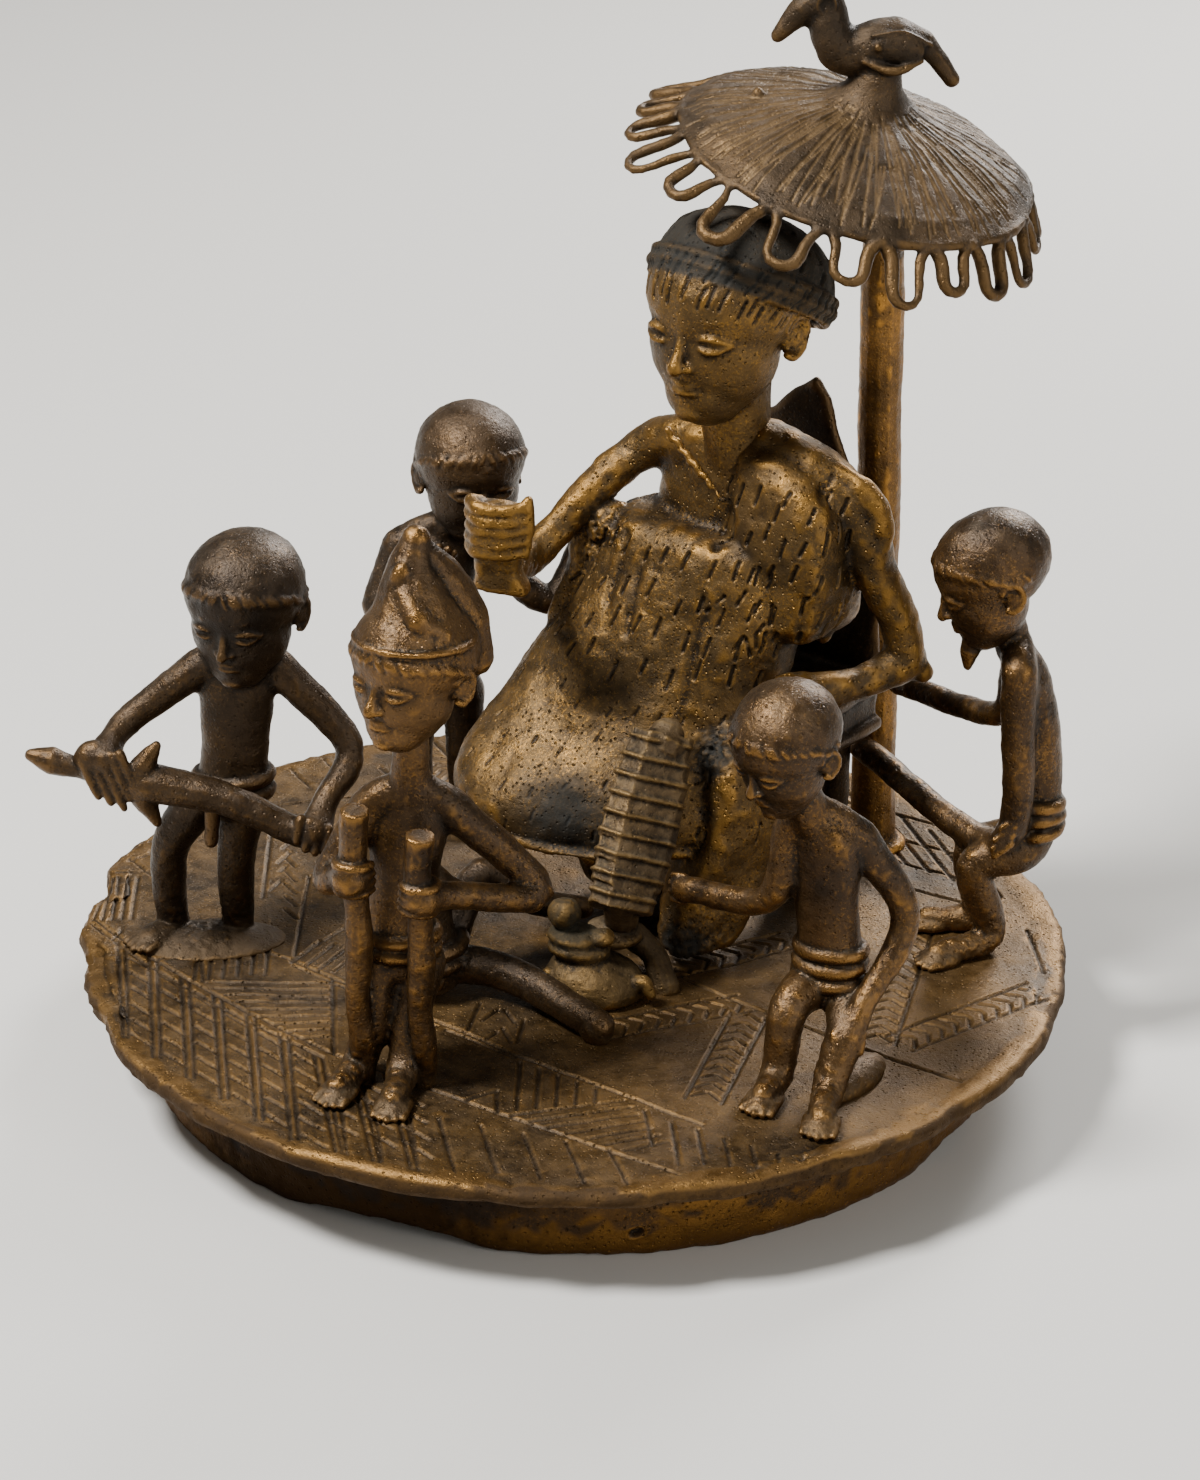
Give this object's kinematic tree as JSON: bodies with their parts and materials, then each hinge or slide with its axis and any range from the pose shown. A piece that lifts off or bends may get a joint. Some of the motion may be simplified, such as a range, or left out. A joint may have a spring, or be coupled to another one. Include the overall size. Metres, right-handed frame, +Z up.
{
  "type": "figure group",
  "caption": "Cast brass court group: a seated chief under a fringed umbrella topped by a bird, with small attendants, on a round engraved stand with a foot ring.",
  "frame": {"origin": "on the surface the foot ring rests on, under the middle of the group's whole width and depth", "axes": "+Z up through the plate, -Y the front, where the chief's lap faces, +X the viewer's right, the umbrella pole's side"},
  "size_m": [0.1848, 0.18, 0.1899],
  "materials": {
    "stand": "aged brass, brown-grey, dusty and engraved",
    "chief": "aged brass, olive-golden with worn highlights",
    "chair": "aged brass, dark brown",
    "umbrella_pole": "aged brass, golden where rubbed",
    "umbrella_canopy": "aged brass, grey-brown, dusty",
    "sword_bearer": "aged brass, dark brown with rubbed edges",
    "staff_bearer": "aged brass, brown with golden highlights",
    "drum_bearer": "aged brass, dark brown with rubbed edges",
    "ribbed_drum": "aged brass, brown ridges",
    "stoppered_jar": "aged brass, green-grey",
    "seated_attendant": "aged brass, dark brown",
    "umbrella_bearer": "aged brass, golden skull and shoulders",
    "court_attendant": "aged brass, dark brown with rubbed edges"
  },
  "bodies": {
    "root": {"stand": "stand", "chief": "chief", "chair": "chair", "umbrella_pole": "umbrella_pole", "umbrella_canopy": "umbrella_canopy", "sword_bearer": "sword_bearer", "staff_bearer": "staff_bearer", "drum_bearer": "drum_bearer", "ribbed_drum": "ribbed_drum", "stoppered_jar": "stoppered_jar", "seated_attendant": "seated_attendant", "umbrella_bearer": "umbrella_bearer", "court_attendant": "court_attendant"}
  },
  "joints": []
}
